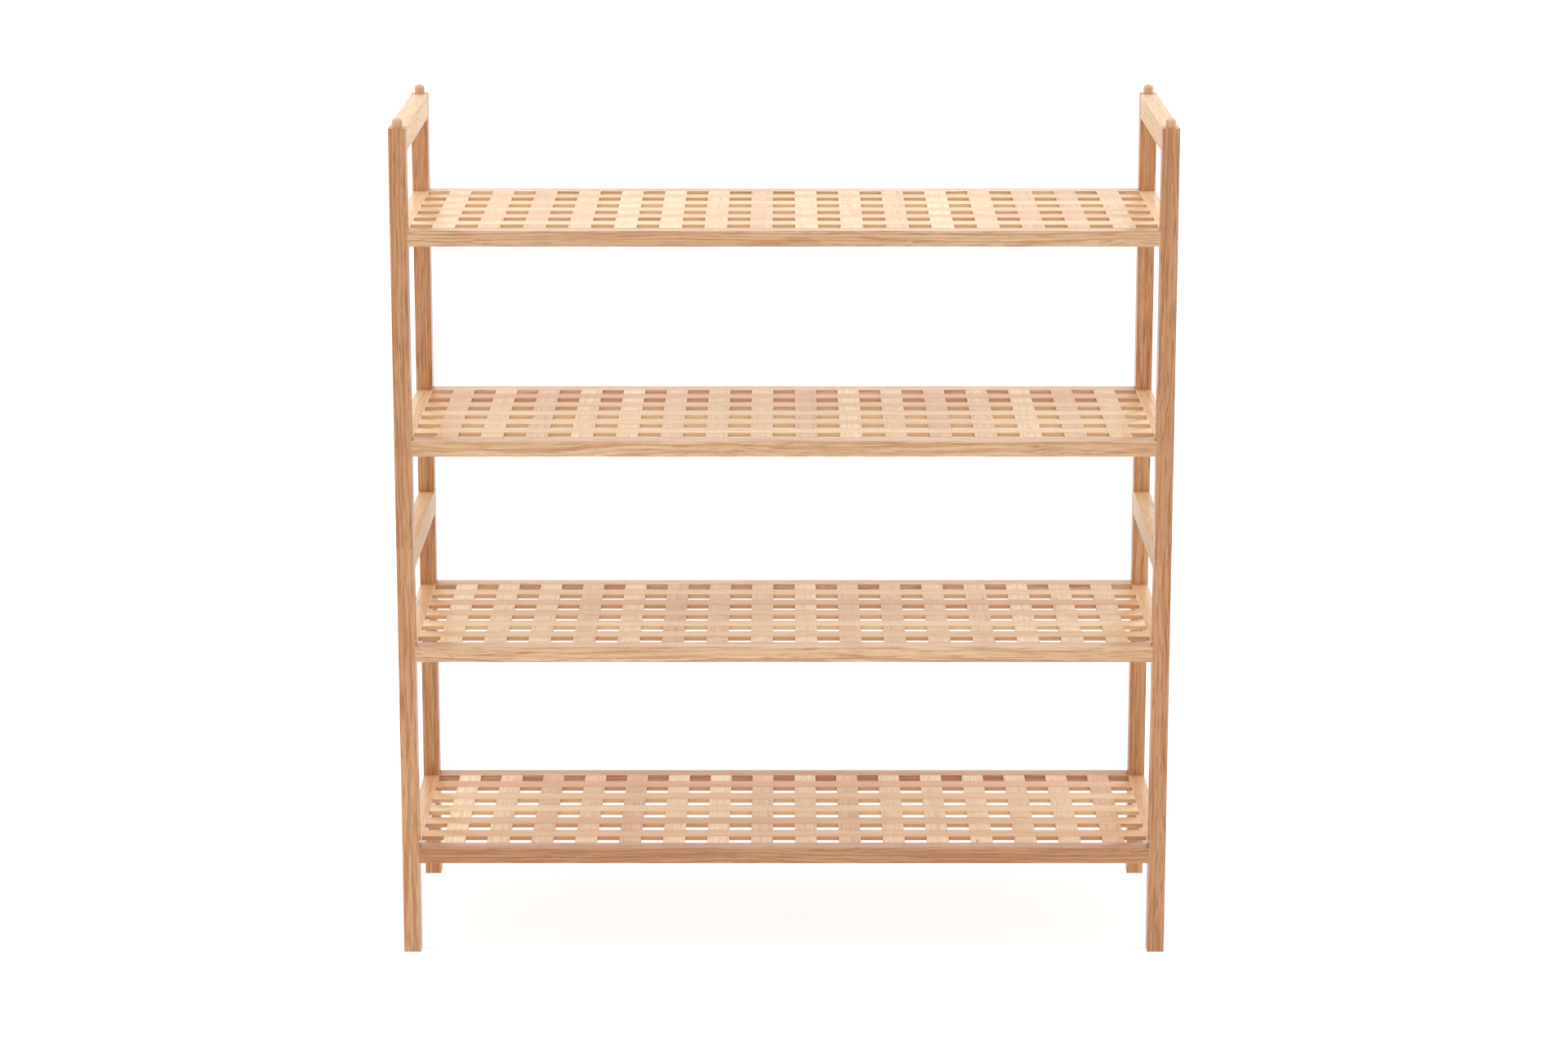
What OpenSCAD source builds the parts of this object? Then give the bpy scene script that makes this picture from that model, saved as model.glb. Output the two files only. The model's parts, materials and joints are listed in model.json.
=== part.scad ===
// Tiered shoe rack: two identical units of two lattice shelves, the upper one standing on the lower one.
// Millimetres. Origin: middle of the footprint, on the floor. +X is the rack's right, +Y its back.
// Most shapes are drawn once, at the back right corner, and mirrored to the other corners or sides.

/* [Overall] */
// Width over the outer faces of the legs
rack_w = 690; // [420:5:1000]
// Depth over the front and back faces of the legs
rack_d = 256; // [200:1:400]
// Height of one unit, from its feet to the tops of its legs
unit_h = 376; // [260:1:560]

/* [Legs and top rails] */
// Width of a leg, and of the rails between a front and a back leg
leg_w = 15; // [12.5:0.5:30]
// Depth of a leg, front to back
leg_d = 18; // [15:0.5:30]
// Height of the rail that joins the tops of two legs
top_rail_h = 22; // [18.5:0.5:50]

/* [Shelves] */
// Height of a unit's first shelf top above its feet
first_shelf_z = 98; // [40:1:150]
// Height of the four rails around a shelf
shelf_rail_h = 14; // [11:0.5:30]
// Depth of a shelf's front and back rails
shelf_rail_d = 18; // [15:0.5:30]
// Thickness of the lattice slats
slat_t = 4; // [3:0.5:8]
// Width of the slats that run left to right
long_slat_w = 20; // [8:0.5:30]
// Number of slats that run left to right
long_slats_n = 5; // [2:1:7]
// Width of the slats that run front to back
cross_slat_w = 20; // [8:0.5:30]
// Number of slats that run front to back
cross_slats_n = 16; // [6:1:20]
// Length of the tongue at each end of a slat
tongue_l = 5; // [3:0.5:8]
// Space left beyond a tongue in its mortise
mortise_end_gap = 0.5; // [0:0.1:1]

/* [Stacking pegs] */
// Radius of a peg where it stands out of its leg
peg_r = 4.8; // [3:0.2:6]
// Radius of a peg where it is glued into its leg
peg_root_r = 5; // [3:0.25:6]
// How far a peg stands out of its leg
peg_proud = 8.5; // [5:0.5:15]
// How far a peg is let into its leg
peg_embed = 12; // [8:0.5:14]
// Height of the dome on a peg
peg_dome_h = 3; // [1:0.25:3]
// Radial clearance of a peg in the foot that stands on it
socket_clearance = 0.35; // [0.1:0.05:0.5]
// Space left above a peg in the foot that stands on it
socket_end_gap = 1.5; // [0.5:0.5:3]

/* [Dowels] */
// Radius of a frame dowel
dowel_r = 2.5; // [2:0.25:3]
// How far a dowel reaches into a rail
dowel_in_rail = 12; // [8:1:20]
// Wood left between a top rail's dowel and the far face of its leg
dowel_end_wall = 6; // [3:0.5:8]
// Wood left between a side rail's dowel and the bolt hole in its leg
dowel_to_bolt_wall = 1.25; // [1:0.25:2]
// Radial gap around glued dowels, pegs and inserts
glue_gap = 0.1; // [0.05:0.05:0.2]

/* [Bolts and inserts] */
// Radius of a bolt's shank
bolt_r = 2.5; // [2:0.25:3]
// Radius of a bolt's head
bolt_head_r = 4.5; // [4:0.25:5]
// Height of a bolt's head
bolt_head_h = 3; // [2:0.25:5]
// How far a bolt's head lies below the face of its leg
bolt_recess = 0.5; // [0:0.25:1]
// Radial clearance of a bolt and its head in the leg
bolt_clearance = 0.25; // [0.1:0.05:0.5]
// How far a bolt reaches into its insert
bolt_engagement = 13; // [8:1:20]
// Width across the corners of the hexagon socket in a bolt's head
hex_socket_w = 4.6; // [3:0.2:5]
// Depth of the hexagon socket
hex_socket_depth = 2; // [1:0.25:2.5]
// Outer radius of a threaded insert
insert_r = 3.5; // [3.25:0.25:4]
// Radial gap between a bolt's shank and the bore of its insert
thread_gap = 0.1; // [0.05:0.05:0.2]
// Length of an insert past the bolt's tip
insert_tip = 2; // [1:0.5:4]

/* [Hidden] */
$fn = 64;
cut = 1; // how far a cutter runs past the face that it opens

UNITS = ["lower", "upper"];
SHELVES_PER_UNIT = 2;
CORNERS = [["front_left", -1, -1], ["front_right", 1, -1], ["back_left", -1, 1], ["back_right", 1, 1]];
SIDES = [["left", -1], ["right", 1]];
ENDS = [["front", -1], ["back", 1]];

// Shelf tops are evenly spaced through the whole stack
shelf_rise = unit_h / SHELVES_PER_UNIT;
// Inner faces of the legs and side rails, and of the front and back rails
inner_x = rack_w / 2 - leg_w;
rail_y = rack_d / 2 - shelf_rail_d;
side_rail_y = rack_d / 2 - leg_d;
// Centre of a leg
leg_x = rack_w / 2 - leg_w / 2;
leg_y = rack_d / 2 - leg_d / 2;
// Two slats cross with each cut to half its thickness, and a tongue is as thick as the lap
lap_t = slat_t / 2;
// Distance between the middles of neighbouring slats, with equal gaps all the way across
cross_pitch = (2 * inner_x + cross_slat_w) / (cross_slats_n + 1);
long_pitch = (2 * rail_y + long_slat_w) / (long_slats_n + 1);
CROSS_X = [for (i = [1 : cross_slats_n]) (i - (cross_slats_n + 1) / 2) * cross_pitch];
LONG_Y = [for (i = [1 : long_slats_n]) (i - (long_slats_n + 1) / 2) * long_pitch];
// Sphere that gives the peg's dome its height over the peg's radius
dome_r = (peg_r * peg_r + peg_dome_h * peg_dome_h) / (2 * peg_dome_h);
// The top dowel lies midway between the underside of the top rail and the bottom of the peg
top_dowel_z = unit_h - (top_rail_h + peg_embed) / 2;
top_dowel_in_leg = leg_d - dowel_end_wall;
side_dowel_in_leg = leg_d / 2 - bolt_r - bolt_clearance - dowel_to_bolt_wall;
// A bolt's shank runs from under its head, through the leg and into the insert
bolt_shank_l = leg_w - bolt_recess - bolt_head_h + bolt_engagement;
insert_l = bolt_engagement + insert_tip;

// Top of a unit's shelf above the unit's feet, counting from 0
function shelf_top(s) = first_shelf_z + s * shelf_rise;
// Middle of that shelf's rails, where its bolts and dowels lie
function shelf_mid(s) = shelf_top(s) - shelf_rail_h / 2;
// Top of a shelf above the floor, counting from 0 at the bottom of the stack
function stack_top(k) = floor(k / SHELVES_PER_UNIT) * unit_h + shelf_top(k % SHELVES_PER_UNIT);

// Mirrors what is drawn at the back right to the side of X and of Y that the signs give
module place(sx, sy) {
    mirror([sx < 0 ? 1 : 0, 0, 0])
        mirror([0, sy < 0 ? 1 : 0, 0])
            children();
}

module in_unit(u) {
    translate([0, 0, u * unit_h])
        children();
}

// Turns what is drawn along +Z to run inwards, -X, from the outer face of the leg at height z
module from_outer_face(z) {
    translate([rack_w / 2, leg_y, z])
        rotate([0, -90, 0])
            children();
}

// Turns what is drawn along +Z to run along -Y, towards the middle, in the plane of the side frame
module towards_middle(y, z) {
    translate([leg_x, y, z])
        rotate([90, 0, 0])
            children();
}

// One dowel, across the joint between a leg and a rail, grown by the gap for its hole
module dowel_at(z, in_leg, gap = 0) {
    towards_middle(side_rail_y + in_leg + gap, z)
        cylinder(r = dowel_r + gap, h = in_leg + dowel_in_rail + 2 * gap);
}

module side_dowels(gap = 0) {
    for (s = [0 : SHELVES_PER_UNIT - 1])
        dowel_at(shelf_mid(s), side_dowel_in_leg, gap);
}

module top_dowel(gap = 0) {
    dowel_at(top_dowel_z, top_dowel_in_leg, gap);
}

module bolt_hole(z) {
    from_outer_face(z) {
        translate([0, 0, -cut])
            cylinder(r = bolt_r + bolt_clearance, h = leg_w + 2 * cut);
        translate([0, 0, -cut])
            cylinder(r = bolt_head_r + bolt_clearance, h = cut + bolt_recess + bolt_head_h);
    }
}

module peg_hole() {
    translate([leg_x, leg_y, unit_h - peg_embed - glue_gap])
        cylinder(r = peg_root_r + glue_gap, h = peg_embed + glue_gap + cut);
}

module foot_socket() {
    translate([leg_x, leg_y, -cut])
        cylinder(r = peg_r + socket_clearance, h = cut + peg_proud + socket_end_gap);
}

module leg() {
    color("peru")
        difference() {
            translate([inner_x, side_rail_y, 0])
                cube([leg_w, leg_d, unit_h]);
            peg_hole();
            foot_socket();
            top_dowel(glue_gap);
            side_dowels(glue_gap);
            for (s = [0 : SHELVES_PER_UNIT - 1])
                bolt_hole(shelf_mid(s));
        }
}

module peg() {
    shank_h = peg_proud - peg_dome_h;
    color("sandybrown") {
        translate([leg_x, leg_y, unit_h - peg_embed])
            cylinder(r = peg_root_r, h = peg_embed);
        translate([leg_x, leg_y, unit_h]) {
            cylinder(r = peg_r, h = shank_h);
            translate([0, 0, shank_h])
                intersection() {
                    cylinder(r = peg_r + cut, h = peg_dome_h);
                    translate([0, 0, peg_dome_h - dome_r])
                        sphere(r = dome_r);
                }
        }
    }
}

module top_rail() {
    color("burlywood")
        difference() {
            translate([inner_x, -side_rail_y, unit_h - top_rail_h])
                cube([leg_w, 2 * side_rail_y, top_rail_h]);
            for (e = ENDS)
                place(1, e[1])
                    top_dowel(glue_gap);
        }
}

// The side rail of the unit's shelf s, with a mortise for each long slat
module side_rail(s) {
    color("burlywood")
        difference() {
            translate([inner_x, -side_rail_y, shelf_top(s) - shelf_rail_h])
                cube([leg_w, 2 * side_rail_y, shelf_rail_h]);
            for (y = LONG_Y)
                translate([inner_x - cut, y - long_slat_w / 2, shelf_top(s) - slat_t])
                    cube([cut + tongue_l + mortise_end_gap, long_slat_w, lap_t]);
            for (e = ENDS)
                place(1, e[1])
                    side_dowels(glue_gap);
        }
}

// The front or back rail of the unit's shelf s, with a mortise for each cross slat
module shelf_rail(s) {
    color("tan")
        difference() {
            translate([-inner_x, rail_y, shelf_top(s) - shelf_rail_h])
                cube([2 * inner_x, shelf_rail_d, shelf_rail_h]);
            for (x = CROSS_X)
                translate([x - cross_slat_w / 2, rail_y - cut, shelf_top(s) - slat_t])
                    cube([cross_slat_w, cut + tongue_l + mortise_end_gap, lap_t]);
            for (side = SIDES)
                place(side[1], 1)
                    from_outer_face(shelf_mid(s))
                        cylinder(r = insert_r + glue_gap, h = leg_w + insert_l + glue_gap);
        }
}

// A long slat keeps its upper half where it crosses, and its tongues are its lower half
module long_slats(s) {
    color("wheat")
        for (y = LONG_Y)
            translate([0, y - long_slat_w / 2, shelf_top(s) - slat_t])
                difference() {
                    union() {
                        translate([-inner_x, 0, 0])
                            cube([2 * inner_x, long_slat_w, slat_t]);
                        translate([-inner_x - tongue_l, 0, 0])
                            cube([2 * (inner_x + tongue_l), long_slat_w, lap_t]);
                    }
                    for (x = CROSS_X)
                        translate([x - cross_slat_w / 2, -cut, -cut])
                            cube([cross_slat_w, long_slat_w + 2 * cut, cut + lap_t]);
                }
}

// A cross slat keeps its lower half where it crosses, and its tongues are its lower half too
module cross_slats(s) {
    color("navajowhite")
        for (x = CROSS_X)
            translate([x - cross_slat_w / 2, 0, shelf_top(s) - slat_t])
                difference() {
                    union() {
                        translate([0, -rail_y, 0])
                            cube([cross_slat_w, 2 * rail_y, slat_t]);
                        translate([0, -rail_y - tongue_l, 0])
                            cube([cross_slat_w, 2 * (rail_y + tongue_l), lap_t]);
                    }
                    for (y = LONG_Y)
                        translate([-cut, y - long_slat_w / 2, lap_t])
                            cube([cross_slat_w + 2 * cut, long_slat_w, slat_t]);
                }
}

module frame_dowels() {
    color("bisque")
        for (c = CORNERS)
            place(c[1], c[2]) {
                top_dowel();
                side_dowels();
            }
}

module shelf_bolt() {
    difference() {
        union() {
            cylinder(r = bolt_head_r, h = bolt_head_h);
            cylinder(r = bolt_r, h = bolt_head_h + bolt_shank_l);
        }
        translate([0, 0, -cut])
            cylinder(d = hex_socket_w, h = cut + hex_socket_depth, $fn = 6);
    }
}

module shelf_bolts() {
    color("silver")
        for (c = CORNERS, s = [0 : SHELVES_PER_UNIT - 1])
            place(c[1], c[2])
                from_outer_face(shelf_mid(s))
                    translate([0, 0, bolt_recess])
                        shelf_bolt();
}

module threaded_inserts() {
    color("goldenrod")
        for (c = CORNERS, s = [0 : SHELVES_PER_UNIT - 1])
            place(c[1], c[2])
                from_outer_face(shelf_mid(s))
                    translate([0, 0, leg_w])
                        difference() {
                            cylinder(r = insert_r, h = insert_l);
                            translate([0, 0, -cut])
                                cylinder(r = bolt_r + thread_gap, h = insert_l + 2 * cut);
                        }
}

for (u = [0 : len(UNITS) - 1])
    in_unit(u) {
        name = UNITS[u];
        for (c = CORNERS) {
            place(c[1], c[2]) leg();
            place(c[1], c[2]) peg();
        }
        for (side = SIDES)
            place(side[1], 1) top_rail();
        frame_dowels();
        shelf_bolts();
        threaded_inserts();
        for (s = [0 : SHELVES_PER_UNIT - 1]) {
            shelf = str("shelf_", u * SHELVES_PER_UNIT + s + 1);
            for (e = ENDS)
                place(1, e[1]) shelf_rail(s);
            for (side = SIDES)
                place(side[1], 1) side_rail(s);
            long_slats(s);
            cross_slats(s);
        }
    }
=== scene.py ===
# %% [markdown]
# # A stacking shoe rack in pale solid wood
# The rack is two identical units, one standing on the other. Each unit has four legs, a rail that joins the
# leg tops at either side, and two shelves, each a lattice of slats that are halved into one another.
# The frame that is loaded here is exact but plain: sharp edges and flat colours. This lesson keeps every
# size and place from that frame, eases the edges, makes each board its own piece of timber, and lights it.

# %% Load the frame
import json
import math
import random

import bmesh
import bpy
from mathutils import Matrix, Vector


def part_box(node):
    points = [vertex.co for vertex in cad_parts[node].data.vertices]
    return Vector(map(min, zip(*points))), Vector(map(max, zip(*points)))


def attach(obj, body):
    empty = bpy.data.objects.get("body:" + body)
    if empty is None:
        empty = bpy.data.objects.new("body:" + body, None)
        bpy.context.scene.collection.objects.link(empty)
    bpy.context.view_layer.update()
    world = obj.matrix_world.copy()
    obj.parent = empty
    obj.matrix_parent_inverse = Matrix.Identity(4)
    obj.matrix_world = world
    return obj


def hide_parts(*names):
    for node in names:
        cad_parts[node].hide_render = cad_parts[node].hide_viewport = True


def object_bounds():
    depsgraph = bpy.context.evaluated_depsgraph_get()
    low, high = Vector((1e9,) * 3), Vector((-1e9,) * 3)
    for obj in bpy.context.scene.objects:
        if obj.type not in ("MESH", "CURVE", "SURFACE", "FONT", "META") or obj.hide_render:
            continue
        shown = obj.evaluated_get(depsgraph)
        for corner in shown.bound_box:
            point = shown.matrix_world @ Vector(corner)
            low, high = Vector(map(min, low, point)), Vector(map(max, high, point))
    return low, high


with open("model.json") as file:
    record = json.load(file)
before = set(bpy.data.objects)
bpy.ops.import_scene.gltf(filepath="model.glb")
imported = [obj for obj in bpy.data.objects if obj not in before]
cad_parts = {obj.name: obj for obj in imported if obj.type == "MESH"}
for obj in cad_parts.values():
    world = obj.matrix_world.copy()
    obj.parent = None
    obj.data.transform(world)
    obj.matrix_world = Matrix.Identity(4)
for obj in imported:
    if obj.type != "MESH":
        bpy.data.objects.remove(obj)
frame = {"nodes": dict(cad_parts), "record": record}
cad_low, cad_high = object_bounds()
record = frame["record"]
MM = 0.001
print("frame nodes", len(frame["nodes"]), "box", [round(v, 4) for v in (*cad_low, *cad_high)])

# %% [markdown]
# ## Where things are
# No piece is placed by eye. A node's box comes from the frame, and a node that holds many loose solids, such
# as a shelf's slats, is taken apart into its islands to learn how many there are and where each one is.

# %% Read places from the frame
UNITS = ("lower", "upper")
CORNERS = ("front_left", "front_right", "back_left", "back_right")
SHELVES = (1, 2, 3, 4)
SAME_PLACE = 0.01 * MM
BODY_OF = {node: body for body, nodes in record["behaviour"]["bodies"].items() for node in nodes}


def solid_boxes(node):
    """(low, high) corners of each separate solid in a node, ordered along X, then Y, then Z."""
    bm = bmesh.new()
    bm.from_mesh(frame["nodes"][node].data)
    bmesh.ops.remove_doubles(bm, verts=bm.verts, dist=SAME_PLACE)
    unseen = set(bm.verts)
    boxes = []
    while unseen:
        island, edge_of_island = set(), [unseen.pop()]
        while edge_of_island:
            vert = edge_of_island.pop()
            island.add(vert)
            fresh = [e.other_vert(vert) for e in vert.link_edges if e.other_vert(vert) in unseen]
            unseen.difference_update(fresh)
            edge_of_island.extend(fresh)
        corners = [[pick(v.co[i] for v in island) for i in range(3)] for pick in (min, max)]
        boxes.append((Vector(corners[0]), Vector(corners[1])))
    bm.free()
    return sorted(boxes, key=lambda b: [round(c, 4) for c in b[0]])


def middle(box):
    return (box[0] + box[1]) / 2


def node_box(node):
    return [Vector(corner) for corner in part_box(node)]


long_boxes = solid_boxes("shelf_1_long_slats")
cross_boxes = solid_boxes("shelf_1_cross_slats")
print("slats in a shelf:", len(long_boxes), "long and", len(cross_boxes), "cross")

# %% [markdown]
# ## Three small helpers
# A finished object keeps its place in its mesh, so every new object sits at the origin, unturned. A modifier
# is a recipe and not yet a shape, so `settled` swaps it for the plain mesh that it makes.

# %% Object helpers
def new_object(name, mesh):
    obj = bpy.data.objects.new(name, mesh)
    bpy.context.scene.collection.objects.link(obj)
    return obj


def mesh_from(bm, name):
    mesh = bpy.data.meshes.new(name)
    bm.to_mesh(mesh)
    bm.free()
    return mesh


def settled(obj):
    """The object's evaluated mesh takes the place of its mesh and modifiers."""
    depsgraph = bpy.context.evaluated_depsgraph_get()
    plain = bpy.data.meshes.new_from_object(obj.evaluated_get(depsgraph))
    obj.modifiers.clear()
    old = obj.data
    obj.data = plain
    plain.name = obj.name
    bpy.data.meshes.remove(old)
    return obj


# %% [markdown]
# ## Timber as a procedural material
# Wood is a solid with a direction, so its pattern has to run through the board and turn with it. Each piece
# carries four attributes for that: `grain`, a point's place measured along, across and through the board;
# `board`, a random number that moves the pattern, so that no two boards match; `tone`, which picks the
# board's colour from the palette; and `edge`, 1 on the eased edges, which are painted paler as a highlight.
# The slats carry a fifth, for a painted shade on their narrow upright sides, the walls of the holes.
#
# The figure has four layers. Growth rings are shells round an axis outside the board, wavy along the trunk,
# so a flat face shows arches and an end shows arcs. Streaks and pores are noise stretched along the grain,
# and a slow drift bends them, because a tree is never quite straight. A cloud varies the whole board, and a
# sparse Voronoi pattern sets a pin knot here and there.
#
# The lacquer is satin. Seen from low down, a satin top picks up the pale room, which is why flat slats look
# so much lighter than upright boards of the same wood. The roughness sets how much, so it is a real value
# for each finish rather than a lighter colour.

# %% Shader helpers
def add_node(tree, kind, **settings):
    node = tree.nodes.new(kind)
    for key, value in settings.items():
        setattr(node, key, value)
    return node


def plug(tree, value, socket):
    """Links an output to a socket, or sets a constant on it."""
    if isinstance(value, bpy.types.NodeSocket):
        tree.links.new(value, socket)
    else:
        socket.default_value = value


def math_node(tree, operation, a, b=0.0):
    node = add_node(tree, "ShaderNodeMath", operation=operation)
    plug(tree, a, node.inputs[0])
    plug(tree, b, node.inputs[1])
    return node.outputs[0]


def vector_node(tree, operation, a, b):
    node = add_node(tree, "ShaderNodeVectorMath", operation=operation)
    plug(tree, a, node.inputs[0])
    plug(tree, b, node.inputs[1])
    return node.outputs[0]


def attribute(tree, name, output):
    return add_node(tree, "ShaderNodeAttribute", attribute_name=name).outputs[output]


def noise(tree, place, scale, detail=2.0):
    """Noise from 0 to 1 at a place, with a scale for each axis in cells a metre."""
    node = add_node(tree, "ShaderNodeTexNoise")
    plug(tree, vector_node(tree, "MULTIPLY", place, scale), node.inputs["Vector"])
    node.inputs["Scale"].default_value = 1.0
    node.inputs["Detail"].default_value = detail
    return node.outputs["Fac"]


def remap(tree, value, low, high, to_low=0.0, to_high=1.0):
    node = add_node(tree, "ShaderNodeMapRange", interpolation_type="SMOOTHSTEP")
    for socket, v in zip(node.inputs, (value, low, high, to_low, to_high)):
        plug(tree, v, socket)
    return node.outputs["Result"]


def mix_colour(tree, fac, a, b, blend="MIX"):
    node = add_node(tree, "ShaderNodeMix", data_type="RGBA", blend_type=blend)
    plug(tree, fac, node.inputs[0])
    plug(tree, a, node.inputs[6])
    plug(tree, b, node.inputs[7])
    return node.outputs[2]


def srgb(r, g, b):
    """A colour given as 0 to 255 display values, as the linear colour that shaders use."""
    def linear(c):
        c /= 255
        return c / 12.92 if c <= 0.04045 else ((c + 0.055) / 1.055) ** 2.4
    return (linear(r), linear(g), linear(b), 1.0)


def palette(tree, place, colours):
    """A smooth ramp through evenly spaced colours."""
    node = add_node(tree, "ShaderNodeValToRGB")
    plug(tree, place, node.inputs["Fac"])
    stops = node.color_ramp.elements
    for i, colour in enumerate(colours):
        at = i / (len(colours) - 1)
        stop = stops[i] if i < 2 else stops.new(at)
        stop.position = at
        stop.color = colour
    return node.outputs["Color"]


# %% Sizes and tints of the figure
RING_GAP = 3.0 * MM
PITH_BELOW = 35 * MM
PITH_ASIDE = 70 * MM
RING_SWAY = 15 * MM
GRAIN_DRIFT = 12 * MM
DRIFT_ACROSS = (0.0, 1.0, 0.7)
BOARD_SHIFT = (7.3, 3.1, 5.7)

# Cells a metre, along, across and through the board.
SWAY_CELLS = (4.5, 20.0, 20.0)
DRIFT_CELLS = (8.0, 30.0, 30.0)
STREAK_CELLS = (12.0, 420.0, 420.0)
FIBRE_CELLS = (36.0, 1100.0, 1100.0)
CLOUD_CELLS = (3.0, 34.0, 34.0)
KNOT_CELLS = (11.0, 40.0, 40.0)

# Late wood, pores and knots multiply the board's colour. Eased edges go part of the way to a pale cream,
# a painted highlight for the light that they catch.
LATE_WOOD = (0.68, 0.50, 0.37, 1.0)
PORE_BROWN = (0.42, 0.28, 0.19, 1.0)
HIGHLIGHT_CREAM = (1.0, 0.93, 0.82, 1.0)
EDGE_HIGHLIGHT_SHARE = 0.2

# How much of each layer shows, in colour, in gloss and in relief.
CLOUD_SHARE = 0.5
FIBRE_SHARE = 0.75
KNOT_SHADE = 0.8
DULLNESS = 0.08
FIBRE_RELIEF = 0.6
RING_RELIEF = 0.4
RELIEF_STRENGTH = 0.25
RELIEF_DEPTH = 0.04 * MM
LACQUER_IOR = 1.5


# %% The wood material
def spread(tree, value):
    """One number as a vector of three equal parts, so that it can scale a vector."""
    node = add_node(tree, "ShaderNodeCombineXYZ")
    for socket in node.inputs:
        plug(tree, value, socket)
    return node.outputs[0]


def growth_rings(tree, grain, place, board):
    """0 in spring wood, rising at the dark end of each year's ring, to 1 or less: some years are darker."""
    pith = add_node(tree, "ShaderNodeCombineXYZ")
    plug(tree, math_node(tree, "MULTIPLY", board, PITH_ASIDE), pith.inputs["Y"])
    pith.inputs["Z"].default_value = PITH_BELOW
    from_pith = vector_node(tree, "ADD", grain, pith.outputs[0])
    across = vector_node(tree, "MULTIPLY", from_pith, (0.0, 1.0, 1.0))
    radius = add_node(tree, "ShaderNodeVectorMath", operation="LENGTH")
    plug(tree, across, radius.inputs[0])
    sway = math_node(tree, "MULTIPLY", noise(tree, place, SWAY_CELLS, 3.0), RING_SWAY)
    years = math_node(tree, "DIVIDE", math_node(tree, "ADD", radius.outputs["Value"], sway), RING_GAP)
    in_year = math_node(tree, "FRACT", years)
    lot = add_node(tree, "ShaderNodeTexWhiteNoise", noise_dimensions="1D")
    plug(tree, math_node(tree, "FLOOR", years), lot.inputs["W"])
    strength = remap(tree, lot.outputs["Value"], 0.0, 1.0, 0.25, 1.0)
    rise = remap(tree, in_year, 0.25, 0.88)
    fall = remap(tree, in_year, 0.9, 1.0, 1.0, 0.0)
    return math_node(tree, "MULTIPLY", math_node(tree, "MULTIPLY", rise, fall), strength)


def pin_knot(tree, place, share):
    """1 inside a small knot, in a share of the pattern's cells, and 0 everywhere else."""
    cell = add_node(tree, "ShaderNodeTexVoronoi", feature="F1")
    plug(tree, vector_node(tree, "MULTIPLY", place, KNOT_CELLS), cell.inputs["Vector"])
    cell.inputs["Scale"].default_value = 1.0
    lot = add_node(tree, "ShaderNodeSeparateColor")
    plug(tree, cell.outputs["Color"], lot.inputs[0])
    chosen = math_node(tree, "GREATER_THAN", lot.outputs[0], 1.0 - share)
    spot = remap(tree, cell.outputs["Distance"], 0.04, 0.1, 1.0, 0.0)
    return math_node(tree, "MULTIPLY", spot, chosen)


def wood(name, colours, figure, pores, knots, roughness, sawn=0.0):
    """A lacquered timber. Figure, pores and painted wall shade say how strongly each shows, knots how many.
    """
    material = bpy.data.materials.new(name)
    material.use_nodes = True
    tree = material.node_tree
    shader = tree.nodes["Principled BSDF"]
    grain = attribute(tree, "grain", "Vector")
    board = attribute(tree, "board", "Fac")
    shift = vector_node(tree, "MULTIPLY", BOARD_SHIFT, spread(tree, board))
    place = vector_node(tree, "ADD", grain, shift)
    drift = math_node(tree, "MULTIPLY", noise(tree, place, DRIFT_CELLS, 1.0), GRAIN_DRIFT)
    bend = vector_node(tree, "MULTIPLY", DRIFT_ACROSS, spread(tree, drift))
    place = vector_node(tree, "ADD", place, bend)

    rings = growth_rings(tree, grain, place, board)
    streaks = remap(tree, noise(tree, place, STREAK_CELLS, 3.0), 0.48, 0.68)
    fibre = remap(tree, noise(tree, place, FIBRE_CELLS, 2.0), 0.52, 0.68)
    cloud = remap(tree, noise(tree, place, CLOUD_CELLS, 2.0), 0.3, 0.7)

    base = palette(tree, attribute(tree, "tone", "Fac"), [srgb(*colour) for colour in colours])
    deep = mix_colour(tree, 1.0, base, LATE_WOOD, "MULTIPLY")
    brown = mix_colour(tree, 1.0, base, PORE_BROWN, "MULTIPLY")
    colour = mix_colour(tree, math_node(tree, "MULTIPLY", cloud, CLOUD_SHARE * figure), base, deep)
    colour = mix_colour(tree, math_node(tree, "MULTIPLY", rings, figure), colour, deep)
    colour = mix_colour(tree, math_node(tree, "MULTIPLY", streaks, pores), colour, deep)
    colour = mix_colour(tree, math_node(tree, "MULTIPLY", fibre, FIBRE_SHARE * pores), colour, brown)
    if knots:
        spot = math_node(tree, "MULTIPLY", pin_knot(tree, place, knots), KNOT_SHADE)
        colour = mix_colour(tree, spot, colour, brown)
    # Painted shade: the slats' upright faces, the walls of the lattice's holes, are darkened towards late
    # wood.
    if sawn:
        wall_shade_share = math_node(tree, "MULTIPLY", attribute(tree, "sawn", "Fac"), sawn)
        colour = mix_colour(tree, wall_shade_share, colour, deep)
    # Painted highlight: the eased edges are mixed part of the way to a pale cream, for the light they catch.
    painted_highlight = math_node(tree, "MULTIPLY", attribute(tree, "edge", "Fac"), EDGE_HIGHLIGHT_SHARE)
    colour = mix_colour(tree, painted_highlight, colour, mix_colour(tree, 0.5, base, HIGHLIGHT_CREAM))
    plug(tree, colour, shader.inputs["Base Color"])

    dull = math_node(tree, "MULTIPLY", math_node(tree, "ADD", fibre, cloud), DULLNESS)
    plug(tree, math_node(tree, "ADD", dull, roughness), shader.inputs["Roughness"])
    open_pores = math_node(tree, "MULTIPLY", fibre, FIBRE_RELIEF)
    relief = math_node(tree, "ADD", open_pores, math_node(tree, "MULTIPLY", rings, RING_RELIEF))
    bump = add_node(tree, "ShaderNodeBump", invert=True)
    bump.inputs["Strength"].default_value = RELIEF_STRENGTH
    bump.inputs["Distance"].default_value = RELIEF_DEPTH
    plug(tree, relief, bump.inputs["Height"])
    plug(tree, bump.outputs["Normal"], shader.inputs["Normal"])
    shader.inputs["IOR"].default_value = LACQUER_IOR
    return material
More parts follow.
